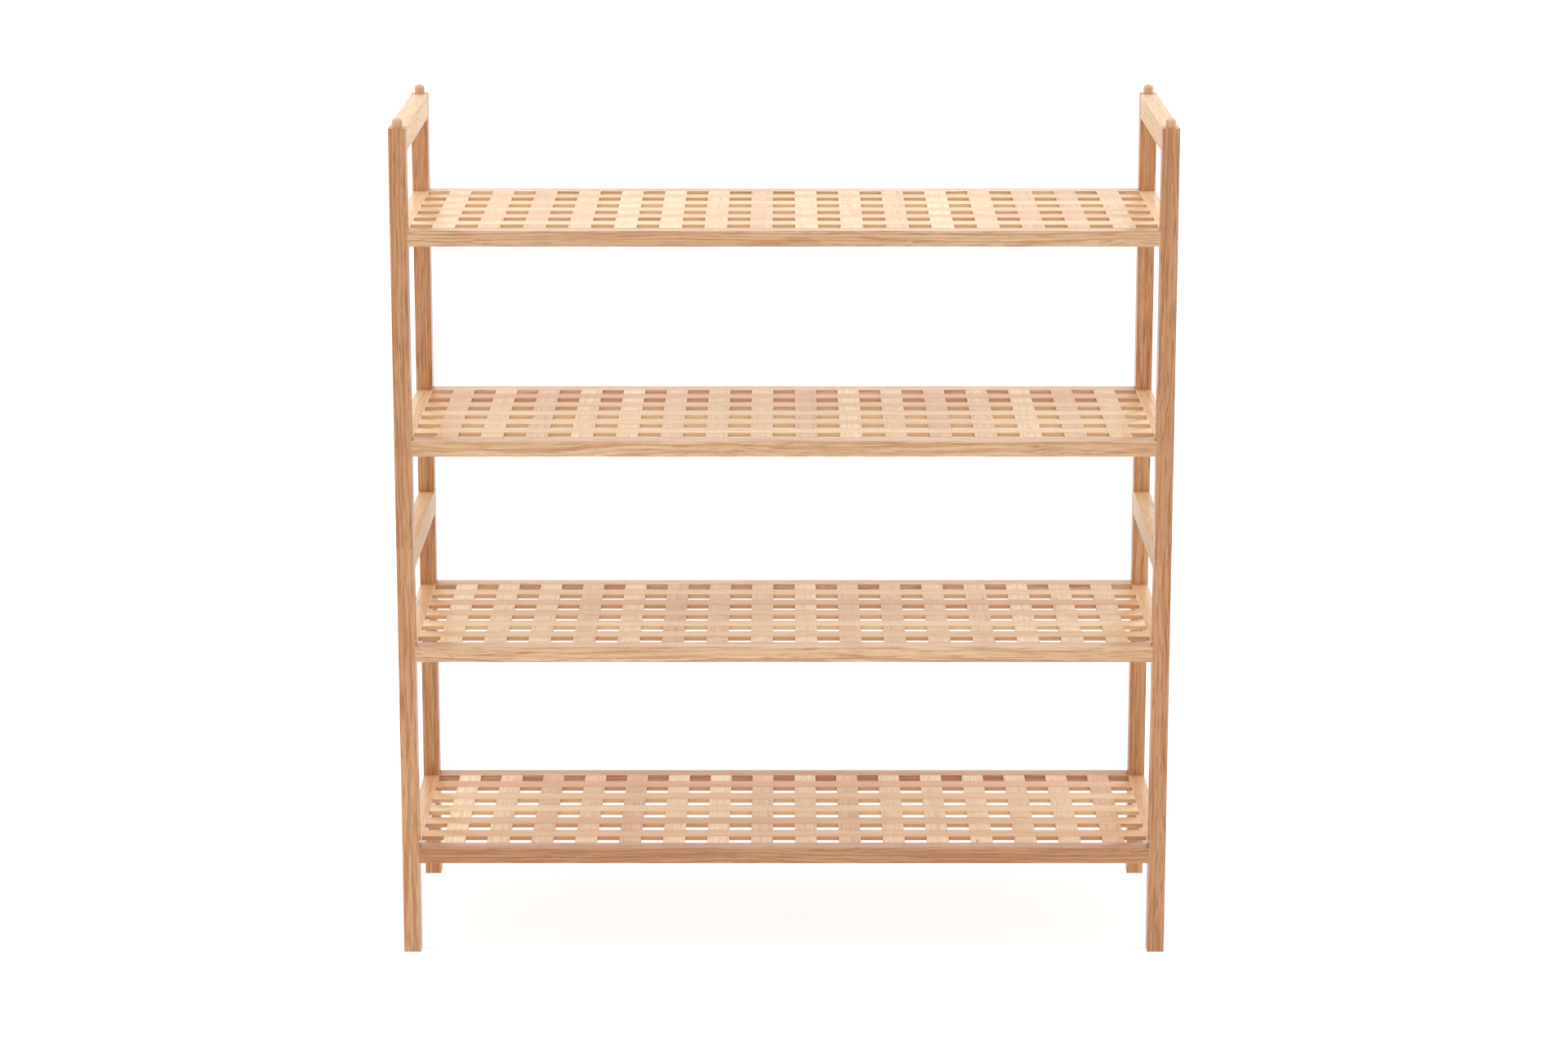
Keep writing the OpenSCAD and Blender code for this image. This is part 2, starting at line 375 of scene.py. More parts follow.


# %% [markdown]
# ## Palettes
# All the wood is one species, but it is cut from different boards. Legs and shelf rails are the tan
# heartwood, the slats run from cream to a pinkish sand, and the pegs are turned from a rosier stick. A
# material for each board would be slow to tend, so each kind of piece has one, with the colours of two or
# three real boards, and the board's tone picks a place between them.
# The side rails' colours are paler than the other shelf rails': a painted sheen for their tops.

# %% Wood finishes
# Each row: colours from a pale board to a deep one, figure, pores, knots, roughness and, for slats, the
# strength of the painted shade on their upright sides.
TIMBER = {
    "leg": ([(212, 166, 122), (202, 154, 110), (190, 140, 98)], 0.75, 1.0, 0.0, 0.26),
    "shelf_rail": ([(226, 192, 154), (214, 176, 138), (192, 142, 102)], 0.95, 0.8, 0.0, 0.26),
    "top_rail": ([(228, 197, 156), (222, 189, 148)], 0.45, 0.45, 0.0, 0.36),
    # Side rails: paler than the other shelf rails, a painted sheen standing in for the pale gloss on their
    # tops.
    "side_rail": ([(240, 208, 170), (226, 186, 146), (212, 168, 128)], 0.5, 0.5, 0.0, 0.26),
    "long_slat": ([(238, 208, 163), (227, 191, 147), (216, 168, 128)], 0.5, 0.32, 0.14, 0.3, 0.35),
    "cross_slat": ([(242, 216, 174), (228, 196, 152), (214, 168, 128)], 0.5, 0.32, 0.14, 0.3, 0.35),
    "peg": ([(214, 178, 144), (208, 168, 134)], 0.3, 0.4, 0.0, 0.24),
    "dowel": ([(226, 196, 154), (216, 182, 138)], 0.5, 0.5, 0.0, 0.4),
}
FINISHES = {slot: wood(slot + "_wood", *look) for slot, look in TIMBER.items()}
print("wood finishes", sorted(FINISHES))

# %% [markdown]
# ## Metal finishes
# The bolts are zinc plated: bright, with a faint mottle where the plating is thin. The inserts are brass.
# One recipe makes both. Noise mixes a paler and a darker colour, and fine scratches break up the gloss. A
# single colour with an even gloss would look like chrome, which is too fine for a fitting.

# %% The metal material
MOTTLE_CELLS = (900.0, 900.0, 900.0)
SCRATCH_CELLS = (4000.0, 4000.0, 300.0)
SCRATCH_DEPTH = 0.05 * MM


def metal(name, colour, dark, roughness):
    material = bpy.data.materials.new(name)
    material.use_nodes = True
    tree = material.node_tree
    shader = tree.nodes["Principled BSDF"]
    place = add_node(tree, "ShaderNodeTexCoord").outputs["Object"]
    mottle = noise(tree, place, MOTTLE_CELLS, 3.0)
    scratches = noise(tree, place, SCRATCH_CELLS, 2.0)
    dulled = mix_colour(tree, remap(tree, mottle, 0.35, 0.7, 0.0, 0.7), colour, dark)
    plug(tree, dulled, shader.inputs["Base Color"])
    satin = remap(tree, scratches, 0.3, 0.7, roughness - 0.06, roughness + 0.1)
    plug(tree, satin, shader.inputs["Roughness"])
    bump = add_node(tree, "ShaderNodeBump")
    bump.inputs["Strength"].default_value = 0.2
    bump.inputs["Distance"].default_value = SCRATCH_DEPTH
    plug(tree, scratches, bump.inputs["Height"])
    plug(tree, bump.outputs["Normal"], shader.inputs["Normal"])
    shader.inputs["Metallic"].default_value = 1.0
    return material


FINISHES["bolt"] = metal("zinc_plate", srgb(172, 172, 174), srgb(128, 129, 134), 0.34)
FINISHES["insert"] = metal("brass", srgb(222, 188, 110), srgb(176, 138, 70), 0.35)
print("finishes", len(FINISHES))

# %% [markdown]
# ## Marking a board
# Once a board has its final shape, its attributes are written from the shape itself: the grain runs along
# the board's long axis, and a face that faces no axis squarely must be part of an eased edge.

# %% Write the grain, board, tone and edge attributes
LONG_AXIS = {"X": (0, 1, 2), "Y": (1, 0, 2), "Z": (2, 0, 1)}
EDGE_FACING = 0.985


def write_attribute(mesh, name, kind, domain, values):
    layer = mesh.attributes.new(name, kind, domain)
    layer.data.foreach_set("vector" if kind == "FLOAT_VECTOR" else "value", values)


def mark_edges(mesh):
    eased = [1.0 if max(abs(c) for c in face.normal) < EDGE_FACING else 0.0 for face in mesh.polygons]
    write_attribute(mesh, "edge", "FLOAT", "FACE", eased)


def mark_board(obj, axis, tone):
    mesh = obj.data
    order = LONG_AXIS[axis]
    points = [v.co for v in mesh.vertices]
    centre = [(min(p[i] for p in points) + max(p[i] for p in points)) / 2 for i in range(3)]
    grain = [p[i] - centre[i] for p in points for i in order]
    chance = random.Random(obj.name).random()
    write_attribute(mesh, "grain", "FLOAT_VECTOR", "POINT", grain)
    write_attribute(mesh, "board", "FLOAT", "POINT", [chance] * len(points))
    write_attribute(mesh, "tone", "FLOAT", "POINT", [tone] * len(points))


# %% [markdown]
# ## Easing the edges
# A board fresh from the planer has edges that cut, so every one is sanded over. The bevel modifier does
# this, and an edge weight sets how much: long edges get the full radius, ends and hole rims less, and inner
# corners none. The board itself is a copy of the frame's mesh, merged and cleaned into whole faces, so each
# bolt recess, peg hole and mortise is kept.

# %% Make an eased board from a node
EASE = 0.45 * MM
END_SHARE = 0.5
ALONG = 0.99
FLAT_ANGLE = math.radians(1)
SHARP_ANGLE = math.radians(40)
CREASE_ANGLE = math.radians(32)


def ease_edges(obj, width, segments=3):
    bevel = obj.modifiers.new("ease", "BEVEL")
    bevel.limit_method = "WEIGHT"
    bevel.width = width
    bevel.segments = segments
    bevel.use_clamp_overlap = True


def weigh_edges(bm, axis, low, high):
    """Full weight on long outer edges, a share on other convex edges, none on inner corners."""
    weight = bm.edges.layers.float.new("bevel_weight_edge")
    run, *sides = LONG_AXIS[axis]

    def on_outside(vert):
        return all(min(abs(vert.co[i] - low[i]), abs(vert.co[i] - high[i])) < SAME_PLACE for i in sides)

    for edge in bm.edges:
        if len(edge.link_faces) != 2 or not edge.is_convex or edge.calc_face_angle(0) < SHARP_ANGLE:
            continue
        along = abs((edge.verts[0].co - edge.verts[1].co).normalized()[run]) > ALONG
        outer = all(on_outside(vert) for vert in edge.verts)
        edge[weight] = 1.0 if along and outer else END_SHARE


def shade_smooth(mesh):
    mesh.polygons.foreach_set("use_smooth", [True] * len(mesh.polygons))
    mesh.set_sharp_from_angle(angle=CREASE_ANGLE)


def eased_board(node, axis, tone, slot, finish=None):
    bm = bmesh.new()
    bm.from_mesh(frame["nodes"][node].data)
    bmesh.ops.remove_doubles(bm, verts=bm.verts, dist=SAME_PLACE)
    bmesh.ops.dissolve_limit(bm, angle_limit=FLAT_ANGLE, verts=bm.verts, edges=bm.edges)
    weigh_edges(bm, axis, *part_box(node))
    obj = new_object(node + "_board", mesh_from(bm, node + "_board"))
    ease_edges(obj, EASE)
    settled(obj)
    obj.data.materials.clear()
    obj.data.materials.append(FINISHES[finish or slot])
    mark_board(obj, axis, tone)
    mark_edges(obj.data)
    shade_smooth(obj.data)
    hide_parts(node)
    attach(obj, BODY_OF[node])
    return obj


# %% [markdown]
# ## Legs, top rails and shelf rails
# Each board gets its own tone from 0, pale, to 1, deep. The shelf rails and the front legs show most, so
# theirs are chosen: the lowest front rail is the deepest. The others are drawn at random from their names.

# %% Build the boards
# A tone for each shelf, from the floor up.
RAIL_TONES = {
    "front_rail": (0.9, 0.2, 0.1, 0.4),
    "back_rail": (0.8, 0.35, 0.1, 0.05),
    "side_rail_left": (0.45, 0.4, 0.1, 0.0),
    "side_rail_right": (0.5, 0.25, 0.2, 0.0),
}
CHOSEN_TONES = {
    "upper_leg_front_left": 0.65,
    "lower_leg_front_left": 0.25,
    "upper_leg_front_right": 0.8,
    "lower_leg_front_right": 0.7,
}
for rail, tones in RAIL_TONES.items():
    for shelf, tone in zip(SHELVES, tones):
        CHOSEN_TONES[f"shelf_{shelf}_{rail}"] = tone


def tone_of(node):
    return CHOSEN_TONES.get(node, random.Random("tone " + node).random())


boards = []
for unit in UNITS:
    for corner in CORNERS:
        leg = f"{unit}_leg_{corner}"
        boards.append(eased_board(leg, "Z", tone_of(leg), "leg"))
    for side in ("left", "right"):
        rail = f"{unit}_top_rail_{side}"
        boards.append(eased_board(rail, "Y", tone_of(rail), "top_rail"))
for shelf in SHELVES:
    for end in ("front", "back"):
        rail = f"shelf_{shelf}_{end}_rail"
        boards.append(eased_board(rail, "X", tone_of(rail), "shelf_rail"))
    for side in ("left", "right"):
        rail = f"shelf_{shelf}_side_rail_{side}"
        boards.append(eased_board(rail, "Y", tone_of(rail), "shelf_rail", "side_rail"))
print("boards", len(boards), "faces", sum(len(b.data.polygons) for b in boards))

# %% [markdown]
# ## One slat
# Where two slats cross, each is cut to half its thickness, so their tops stay flush. A long slat is notched
# underneath and a cross slat on top. Both end in a tongue as thick as the lap, which sits in the rail.
# The side view of a slat is one outline, and the slat is that outline drawn out to its width. Its narrow
# upright sides are the walls of the lattice's holes, so they are marked for a painted shade, which stands
# in for the shade inside the holes.

# %% Slat outline and mesh
SLAT_EASE = 0.3 * MM
UPRIGHT_FACING = 0.3


def slat_outline(half, tongue, bottom, lap, top, notches, notch_w, on_top):
    """Corners of the slat's side view, as (along, up), going round once."""
    lower = [(-half - tongue, bottom)]
    upper = [(half, lap), (half, top)]
    for x in notches:
        start, end = x - notch_w / 2, x + notch_w / 2
        if on_top:
            upper[2:2] = [(end, top), (end, lap), (start, lap), (start, top)]
        else:
            lower += [(start, bottom), (start, lap), (end, lap), (end, bottom)]
    lower += [(half + tongue, bottom), (half + tongue, lap)]
    upper += [(-half, top), (-half, lap), (-half - tongue, lap)]
    return lower + upper


def slat_mesh(name, outline, width):
    bm = bmesh.new()
    near = [bm.verts.new((x, -width / 2, z)) for x, z in outline]
    face = bm.faces.new(near)
    drawn = bmesh.ops.extrude_face_region(bm, geom=[face])
    far = [v for v in drawn["geom"] if isinstance(v, bmesh.types.BMVert)]
    bmesh.ops.translate(bm, verts=far, vec=(0, width, 0))
    bmesh.ops.recalc_face_normals(bm, faces=bm.faces)
    weight = bm.edges.layers.float.new("bevel_weight_edge")
    for edge in bm.edges:
        if edge.is_convex and edge.calc_face_angle(0) > SHARP_ANGLE:
            edge[weight] = 1.0
    obj = new_object(name, mesh_from(bm, name))
    ease_edges(obj, SLAT_EASE, 2)
    settled(obj)
    mark_edges(obj.data)
    # The upright faces are marked for the painted shade of the holes' walls.
    sawn = [1.0 if abs(face.normal.z) < UPRIGHT_FACING else 0.0 for face in obj.data.polygons]
    write_attribute(obj.data, "sawn", "FLOAT", "FACE", sawn)
    shade_smooth(obj.data)
    return obj


# %% [markdown]
# ## Repeating a piece with Geometry Nodes
# A pattern piece is copied to a set of points. Before that, its own shape is stored as `grain`, so the wood
# belongs to the piece. Each instance then gets a random `board` and `tone`, which stay with it when the
# instances are made real. Two kinds of tree come from one function. Slats stand in an even row, so their
# points are a line with a count and a step. Fixings sit wherever a joint is, so their points come from
# another object, whose `turn` and `stretch` attributes say how each copy is set.

# %% The repeating trees
ROW_INPUTS = (("Count", "Int"), ("First", "Vector"), ("Step", "Vector"), ("Turn", "Vector"))
SPOT_INPUTS = (("Places", "Object"),)
TONE_SEED_STEP = 100


def repeat_tree(name, own_inputs):
    tree = bpy.data.node_groups.new(name, "GeometryNodeTree")
    face = tree.interface
    face.new_socket("Board", in_out="INPUT", socket_type="NodeSocketGeometry")
    for socket_name, kind in own_inputs:
        face.new_socket(socket_name, in_out="INPUT", socket_type="NodeSocket" + kind)
    face.new_socket("Seed", in_out="INPUT", socket_type="NodeSocketInt")
    face.new_socket("Finish", in_out="INPUT", socket_type="NodeSocketMaterial")
    face.new_socket("Boards", in_out="OUTPUT", socket_type="NodeSocketGeometry")
    given = tree.nodes.new("NodeGroupInput").outputs

    def store(geometry, name, kind, domain, value):
        node = add_node(tree, "GeometryNodeStoreNamedAttribute", data_type=kind, domain=domain)
        node.inputs["Name"].default_value = name
        plug(tree, geometry, node.inputs["Geometry"])
        plug(tree, value, next(s for s in node.inputs if s.name == "Value" and s.enabled))
        return node.outputs["Geometry"]

    def chance(seed):
        node = add_node(tree, "FunctionNodeRandomValue", data_type="FLOAT")
        plug(tree, seed, next(s for s in node.inputs if s.name == "Seed"))
        return next(s for s in node.outputs if s.enabled)

    place = tree.nodes.new("GeometryNodeInputPosition").outputs[0]
    board = store(given["Board"], "grain", "FLOAT_VECTOR", "POINT", place)

    def stored_vector(name):
        node = add_node(tree, "GeometryNodeInputNamedAttribute", data_type="FLOAT_VECTOR")
        node.inputs["Name"].default_value = name
        return next(s for s in node.outputs if s.name == "Attribute" and s.enabled)

    if own_inputs is ROW_INPUTS:
        line = add_node(tree, "GeometryNodeMeshLine", mode="OFFSET")
        plug(tree, given["Count"], line.inputs["Count"])
        plug(tree, given["First"], line.inputs["Start Location"])
        plug(tree, given["Step"], line.inputs["Offset"])
        points, euler, stretch = line.outputs[0], given["Turn"], (1.0, 1.0, 1.0)
    else:
        spots = tree.nodes.new("GeometryNodeObjectInfo")
        plug(tree, given["Places"], spots.inputs["Object"])
        points, euler, stretch = spots.outputs["Geometry"], stored_vector("turn"), stored_vector("stretch")

    instances = tree.nodes.new("GeometryNodeInstanceOnPoints")
    plug(tree, points, instances.inputs["Points"])
    plug(tree, board, instances.inputs["Instance"])
    turn = tree.nodes.new("FunctionNodeEulerToRotation")
    plug(tree, euler, turn.inputs[0])
    plug(tree, turn.outputs[0], instances.inputs["Rotation"])
    plug(tree, stretch, instances.inputs["Scale"])
    tone_seed = tree.nodes.new("FunctionNodeIntegerMath")
    plug(tree, given["Seed"], tone_seed.inputs[0])
    plug(tree, TONE_SEED_STEP, tone_seed.inputs[1])
    rows = store(instances.outputs[0], "board", "FLOAT", "INSTANCE", chance(given["Seed"]))
    rows = store(rows, "tone", "FLOAT", "INSTANCE", chance(tone_seed.outputs[0]))
    real = tree.nodes.new("GeometryNodeRealizeInstances")
    plug(tree, rows, real.inputs[0])
    finish = tree.nodes.new("GeometryNodeSetMaterial")
    plug(tree, real.outputs[0], finish.inputs["Geometry"])
    plug(tree, given["Finish"], finish.inputs["Material"])
    plug(tree, finish.outputs[0], tree.nodes.new("NodeGroupOutput").inputs[0])
    return tree


IN_A_ROW = repeat_tree("boards_in_a_row", ROW_INPUTS)
AT_PLACES = repeat_tree("fixings_at_places", SPOT_INPUTS)
print("trees", [(tree.name, len(tree.nodes)) for tree in (IN_A_ROW, AT_PLACES)])


def repeated(obj, tree, **inputs):
    """Runs a tree on an object, with its inputs set by their identifiers, and keeps the plain mesh."""
    modifier = obj.modifiers.new("repeat", "NODES")
    modifier.node_group = tree
    identifier = {item.name: item.identifier for item in tree.interface.items_tree if item.in_out == "INPUT"}
    for name, value in inputs.items():
        modifier[identifier[name]] = value
    return settled(obj)


# %% Lay the slats of every shelf
inner_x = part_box("shelf_1_side_rail_right")[0][0]
inner_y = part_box("shelf_1_back_rail")[0][1]
long_w = long_boxes[0][1].y - long_boxes[0][0].y
cross_w = cross_boxes[0][1].x - cross_boxes[0][0].x
cross_places = [middle(b).x for b in cross_boxes]
long_places = [middle(b).y for b in long_boxes]
slat_low, slat_high = long_boxes[0][0].z, long_boxes[0][1].z
half_t = (slat_high - slat_low) / 2

LATTICE = {
    "long": {
        "half": inner_x,
        "tongue": long_boxes[0][1].x - inner_x,
        "width": long_w,
        "notches": (cross_places, cross_w, False),
        "places": [Vector((0, y, 0)) for y in long_places],
        "turn": 0.0,
    },
    "cross": {
        "half": inner_y,
        "tongue": cross_boxes[0][1].y - inner_y,
        "width": cross_w,
        "notches": (long_places, long_w, True),
        "places": [Vector((x, 0, 0)) for x in cross_places],
        "turn": math.pi / 2,
    },
}


def lay_slats(shelf, kind, seed):
    node = f"shelf_{shelf}_{kind}_slats"
    make = LATTICE[kind]
    up = Vector((0, 0, middle(node_box(node)).z))
    outline = slat_outline(make["half"], make["tongue"], -half_t, 0.0, half_t, *make["notches"])
    slats = slat_mesh(node + "_lattice", outline, make["width"])
    places = make["places"]
    repeated(
        slats,
        IN_A_ROW,
        Count=len(places),
        First=places[0] + up,
        Step=places[1] - places[0],
        Turn=(0.0, 0.0, make["turn"]),
        Seed=seed,
        Finish=FINISHES[kind + "_slat"],
    )
    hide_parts(node)
    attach(slats, BODY_OF[node])
    return slats


SHELF_SEED = 11
KIND_SEED = {"long": 0, "cross": 5}

for shelf in SHELVES:
    for kind in LATTICE:
        slats = lay_slats(shelf, kind, SHELF_SEED * shelf + KIND_SEED[kind])
        print(slats.name, len(slats.data.polygons), "faces")

# %% [markdown]
# ## Stacking pegs
# A peg is a turned stick with a domed top, a touch slimmer where it stands out of its leg, so it is drawn as
# half a profile and spun round. A bevelled cylinder would be quicker, but a profile holds the exact radii
# that the frame's own rings give. The dome follows a circle through the rim and the crown, and the foot has
# a small chamfer that helps it into its hole. A turned piece has no eased edges to mark.

# %% Turn a peg
PEG_SIDES = 32
DOME_STEPS = 7
PEG_CHAMFER = 0.5 * MM
SAME_RADIUS = 0.02 * MM
DOME_BELOW = 0.9


def ring_radii(node):
    """The distinct (height, radius) rings of a round, upright node, from its foot up."""
    low, high = node_box(node)
    centre = (low + high) / 2
    rings = {}
    for vert in frame["nodes"][node].data.vertices:
        out = math.hypot(vert.co.x - centre.x, vert.co.y - centre.y)
        height = round(vert.co.z, 5)
        rings[height] = max(out, rings.get(height, 0.0))
    return sorted(rings.items())


def peg(node):
    low, high = node_box(node)
    centre = (low + high) / 2
    rings = ring_radii(node)
    root = rings[0][1]
    shoulder = max(height for height, radius in rings if radius > root - SAME_RADIUS)
    rim, shank = max((height, radius) for height, radius in rings if radius > DOME_BELOW * root)
    dome = high.z - rim
    sphere = (shank**2 + dome**2) / (2 * dome)
    widest = math.asin(shank / sphere)
    profile = [(0.0, low.z), (root - PEG_CHAMFER, low.z), (root, low.z + PEG_CHAMFER)]
    profile += [(root, shoulder), (shank, shoulder)]
    for step in range(DOME_STEPS + 1):
        angle = widest * (1 - step / DOME_STEPS)
        profile.append((sphere * math.sin(angle), high.z - sphere + sphere * math.cos(angle)))
    bm = bmesh.new()
    verts = [bm.verts.new((centre.x + r, centre.y, z)) for r, z in profile]
    edges = [bm.edges.new(pair) for pair in zip(verts, verts[1:])]
    bmesh.ops.spin(
        bm,
        geom=verts + edges,
        cent=(centre.x, centre.y, 0),
        axis=(0, 0, 1),
        angle=2 * math.pi,
        steps=PEG_SIDES,
    )
    bmesh.ops.remove_doubles(bm, verts=bm.verts, dist=SAME_PLACE)
    bmesh.ops.recalc_face_normals(bm, faces=bm.faces)
    obj = new_object(node + "_turned", mesh_from(bm, node + "_turned"))
    obj.data.materials.append(FINISHES["peg"])
    mark_board(obj, "Z", tone_of(node))
    shade_smooth(obj.data)
    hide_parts(node)
    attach(obj, BODY_OF[node])
    return obj


pegs = [peg(f"{unit}_peg_{corner}") for unit in UNITS for corner in CORNERS]
print("pegs", len(pegs), "faces each", len(pegs[0].data.polygons))

# %% [markdown]
# ## Fixings
# Bolts go through the legs into brass inserts in the rail ends, and fluted dowels join the boards that have
# no bolt. All three are round bars whose outline changes from one end to the other, so each is a stack of
# rings, every ring with the same number of corners. A ring's radius may change with the angle too: that one
# rule gives a hex socket, the flutes of a dowel and, where it changes from ring to ring as well, a screw
# thread.

# %% Loft a bar from rings
BAR_SIDES = 24
# Rings for each turn of a thread.
ROWS_A_TURN = 5
RING_ANGLES = [2 * math.pi * i / BAR_SIDES for i in range(BAR_SIDES)]


def lofted_bar(name, rings, closed_round=False):
    """Joins rings of (along X, list of radii). Ends are closed, or the last ring meets the first."""
    bm = bmesh.new()
    loops = []
    for x, radii in rings:
        corners = [(x, r * math.cos(a), r * math.sin(a)) for r, a in zip(radii, RING_ANGLES)]
        loops.append([bm.verts.new(corner) for corner in corners])
    if closed_round:
        loops.append(loops[0])
    else:
        bm.faces.new(loops[0])
        bm.faces.new(loops[-1])
    for one, other in zip(loops, loops[1:]):
        for i in range(BAR_SIDES):
            j = (i + 1) % BAR_SIDES
            bm.faces.new((one[i], one[j], other[j], other[i]))
    bmesh.ops.recalc_face_normals(bm, faces=bm.faces)
    obj = new_object(name, mesh_from(bm, name))
    mark_edges(obj.data)
    return obj


def thread_rings(start, end, pitch, crest, depth):
    """Rings whose radius rises and falls with length and angle together, which winds a groove round."""
    rings = []
    rows = round((end - start) / pitch * ROWS_A_TURN)
    for row in range(rows + 1):
        x = start + (end - start) * row / rows
        fade = min(1.0, row / ROWS_A_TURN, (rows - row) / ROWS_A_TURN)
        wave = [abs(2 * ((x / pitch - a / (2 * math.pi)) % 1.0) - 1) for a in RING_ANGLES]
        rings.append((x, [crest - depth * fade * w for w in wave]))
    return rings


# %% The pattern pieces, each lying along X with its middle at the origin
THREAD_PITCH = 0.8 * MM
THREAD_DEPTH = 0.45 * MM
HEAD_H, HEAD_CHAMFER = 3.0 * MM, 0.45 * MM
SHANK_R, THREADED, BLANK_END = 2.5 * MM, 15.0 * MM, 0.5 * MM
SOCKET_R, SOCKET_DEPTH, SOCKET_CHAMFER = 2.3 * MM, 2.0 * MM, 0.2 * MM
FLUTE_DEPTH, DOWEL_CHAMFER = 0.2 * MM, 0.7 * MM
INSERT_PITCH, INSERT_DEPTH, INSERT_CLEARANCE = 2.0 * MM, 0.5 * MM, 0.1 * MM


def even(radius):
    return [radius] * BAR_SIDES


def hexagon(corner):
    sixth = math.pi / 3
    flat = corner * math.cos(sixth / 2)
    return [flat / math.cos((a % sixth) - sixth / 2) for a in RING_ANGLES]


def bolt(name, length, radius):
    face = -length / 2
    rings = [
        (face + SOCKET_DEPTH, hexagon(SOCKET_R)),
        (face + SOCKET_CHAMFER, hexagon(SOCKET_R)),
        (face, even(SOCKET_R + SOCKET_CHAMFER)),
        (face, even(radius - HEAD_CHAMFER)),
        (face + HEAD_CHAMFER, even(radius)),
        (face + HEAD_H, even(radius)),
        (face + HEAD_H, even(SHANK_R)),
    ]
    start, end = length / 2 - THREADED, length / 2 - BLANK_END
    rings += thread_rings(start, end, THREAD_PITCH, SHANK_R, THREAD_DEPTH)
    rings.append((length / 2, even(SHANK_R - THREAD_DEPTH)))
    return lofted_bar(name, rings)


def insert(name, length, radius):
    bore = SHANK_R + INSERT_CLEARANCE
    outside = thread_rings(-length / 2, length / 2, INSERT_PITCH, radius, INSERT_DEPTH)
    inside = [(length / 2, even(bore)), (-length / 2, even(bore))]
    return lofted_bar(name, outside + inside, closed_round=True)


def dowel(name, length, radius):
    fluted = [radius - FLUTE_DEPTH * (i % 2) for i in range(BAR_SIDES)]
    end = length / 2
    rings = [(-end, even(radius - DOWEL_CHAMFER)), (-end + DOWEL_CHAMFER, fluted)]
    rings += [(end - DOWEL_CHAMFER, fluted), (end, even(radius - DOWEL_CHAMFER))]
    return lofted_bar(name, rings)


# %% [markdown]
# ## Setting the fixings
# The frame says where each fixing is. The loose solids of a node give the middle and the length of every
# one, and those go into a small object of bare points. Bolts and inserts on the right are turned round to
# face outwards, and a long dowel is the short one stretched along its own axis. The bare points are then
# deleted.

# %% Set the fixings of both units
def places_of(node, along, turn_of):
    """An object of bare points with a turn and a stretch, the shortest solid's length, and its radius."""
    boxes = solid_boxes(node)
    lengths = [(high - low)[along] for low, high in boxes]
    across = max((boxes[0][1] - boxes[0][0])[i] for i in range(3) if i != along)
    points = [middle(box) for box in boxes]
    mesh = bpy.data.meshes.new(node + "_places")
    mesh.from_pydata(points, [], [])
    turns = [angle for point in points for angle in (0.0, 0.0, turn_of(point))]
    stretches = [part for length in lengths for part in (length / min(lengths), 1.0, 1.0)]
    write_attribute(mesh, "turn", "FLOAT_VECTOR", "POINT", turns)
    write_attribute(mesh, "stretch", "FLOAT_VECTOR", "POINT", stretches)
    return new_object(mesh.name, mesh), min(lengths), across / 2


def facing_out(point):
    return math.pi if point.x > 0 else 0.0


def along_y(point):
    return math.pi / 2


FIXING_SEEDS = {"lower": 71, "upper": 83}
FIXINGS = (
    ("shelf_bolts", bolt, "bolt", 0, facing_out),
    ("threaded_inserts", insert, "insert", 0, facing_out),
    ("frame_dowels", dowel, "dowel", 1, along_y),
)


def set_fixings(node, make, finish, along, turn_of, seed):
    places, length, radius = places_of(node, along, turn_of)
    piece = make(node + "_turned", length, radius)
    repeated(piece, AT_PLACES, Places=places, Seed=seed, Finish=FINISHES[finish])
    bpy.data.objects.remove(places)
    shade_smooth(piece.data)
    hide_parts(node)
    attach(piece, BODY_OF[node])
    print(piece.name, round(length / MM, 2), "mm long", len(piece.data.polygons), "faces")


for unit in UNITS:
    for name, make, finish, along, turn_of in FIXINGS:
        set_fixings(f"{unit}_{name}", make, finish, along, turn_of, FIXING_SEEDS[unit])

# %% [markdown]
# ## The floor
# A pale sweep, large enough that its edge is never in view. It works like a light table: it glows as well as
# catching light, so it stays nearly white right up to the feet and leaves only a faint shadow there. A faint
# unevenness keeps it from being a void.

# %% Pale floor
WHITE = (1.0, 1.0, 1.0, 1.0)
FLOOR_SIZE = 60.0
FLOOR_GREYS = (0.22, 0.25)
FLOOR_GLOW = 0.8


def pale_floor():
    bm = bmesh.new()
    bmesh.ops.create_grid(bm, x_segments=1, y_segments=1, size=FLOOR_SIZE / 2)
    floor = new_object("floor", mesh_from(bm, "floor"))
    material = bpy.data.materials.new("pale_floor")
    material.use_nodes = True
    tree = material.node_tree
    shader = tree.nodes["Principled BSDF"]
    place = add_node(tree, "ShaderNodeTexCoord").outputs["Object"]
    cloud = noise(tree, place, (1.5, 1.5, 1.5))
    darker, paler = ((grey, grey, grey, 1.0) for grey in FLOOR_GREYS)
    colour = mix_colour(tree, cloud, darker, paler)
    plug(tree, colour, shader.inputs["Base Color"])
    shader.inputs["Emission Color"].default_value = WHITE
    shader.inputs["Emission Strength"].default_value = FLOOR_GLOW
    shader.inputs["Roughness"].default_value = 0.9
    shader.inputs["Specular IOR Level"].default_value = 0.1
    floor.data.materials.append(material)


pale_floor()
print("floor", FLOOR_SIZE, "m across")

# %% [markdown]
# ## Light
# A white room gives soft light from everywhere, and it is also what the satin tops reflect. A very wide,
# weak sun stands for a bright ceiling. Two panels at the sides bring out the insides of the legs and rails,
# and a weak one behind adds a rim to the shelf tops. The side panels light the wood but aren't mirrored in
# it, so a side view keeps its colour instead of washing out.

# %% Studio light
LIGHT_AIM = (0.0, 0.0, 0.35)
CEILING_POWER = 0.8
CEILING_SPREAD = math.radians(90)
ROOM_STRENGTH = 1.0
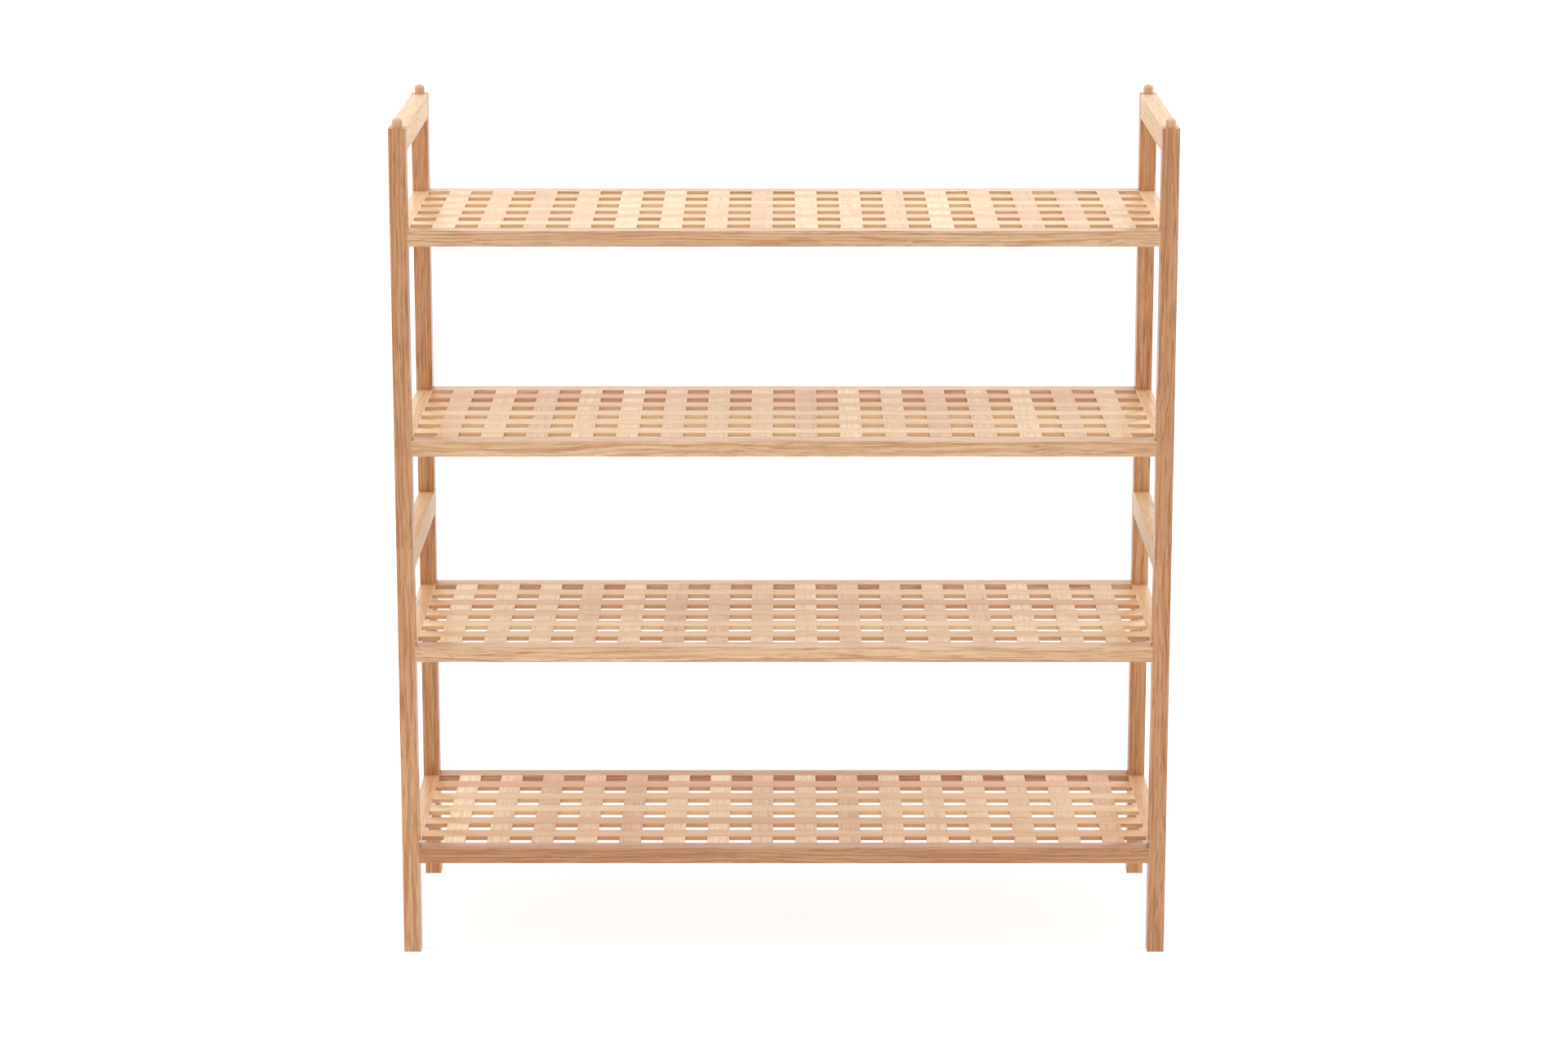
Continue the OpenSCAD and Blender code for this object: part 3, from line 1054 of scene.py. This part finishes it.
# Each row: name, place, size, power, and whether the wood mirrors it.
PANELS = (
    ("left_panel", (-2.6, 0.0, 1.5), (2.0, 1.6), 18, False),
    ("right_panel", (2.6, 0.0, 1.5), (2.0, 1.6), 18, False),
    ("back_panel", (0.0, 2.8, 2.0), (3.0, 1.4), 8, True),
)


def panel(name, place, size, power, mirrored):
    light = bpy.data.lights.new(name, "AREA")
    light.shape = "RECTANGLE"
    light.size, light.size_y = size
    light.energy = power
    obj = bpy.data.objects.new(name, light)
    obj.location = place
    obj.rotation_euler = (Vector(LIGHT_AIM) - Vector(place)).to_track_quat("-Z", "Y").to_euler()
    obj.visible_camera = False
    obj.visible_glossy = mirrored
    bpy.context.scene.collection.objects.link(obj)


for row in PANELS:
    panel(*row)

sun = bpy.data.lights.new("ceiling", "SUN")
sun.energy = CEILING_POWER
sun.angle = CEILING_SPREAD
bpy.context.scene.collection.objects.link(bpy.data.objects.new("ceiling", sun))

world = bpy.data.worlds.new("white_room")
world.use_nodes = True
room = world.node_tree.nodes["Background"]
room.inputs["Color"].default_value = WHITE
room.inputs["Strength"].default_value = ROOM_STRENGTH
bpy.context.scene.world = world
bpy.context.scene.view_settings.view_transform = "Standard"
print("lights", [light.name for light in bpy.data.lights])

# %% [markdown]
# ## Camera
# A long lens from across the room, a little above the rack. A level camera with a shifted lens would keep
# the uprights parallel, but so large a shift stays in every other view and pushes the rack out of it. So the
# camera is tipped down to meet the rack's middle, and the uprights lean in a little.

# %% Camera
CAMERA_AWAY = 3.74
CAMERA_HEIGHT = 1.25
CAMERA_PITCH = math.radians(12.8)
CAMERA_LENS = 99.1

camera_data = bpy.data.cameras.new("camera")
camera_data.lens = CAMERA_LENS
camera_data.sensor_width = 36.0
camera = bpy.data.objects.new("camera", camera_data)
camera.location = (0.0, cad_low[1] - CAMERA_AWAY, CAMERA_HEIGHT)
camera.rotation_euler = (math.pi / 2 - CAMERA_PITCH, 0.0, 0.0)
bpy.context.scene.collection.objects.link(camera)
bpy.context.scene.camera = camera
print("camera", [round(v, 3) for v in camera.location], "lens", CAMERA_LENS, "mm")
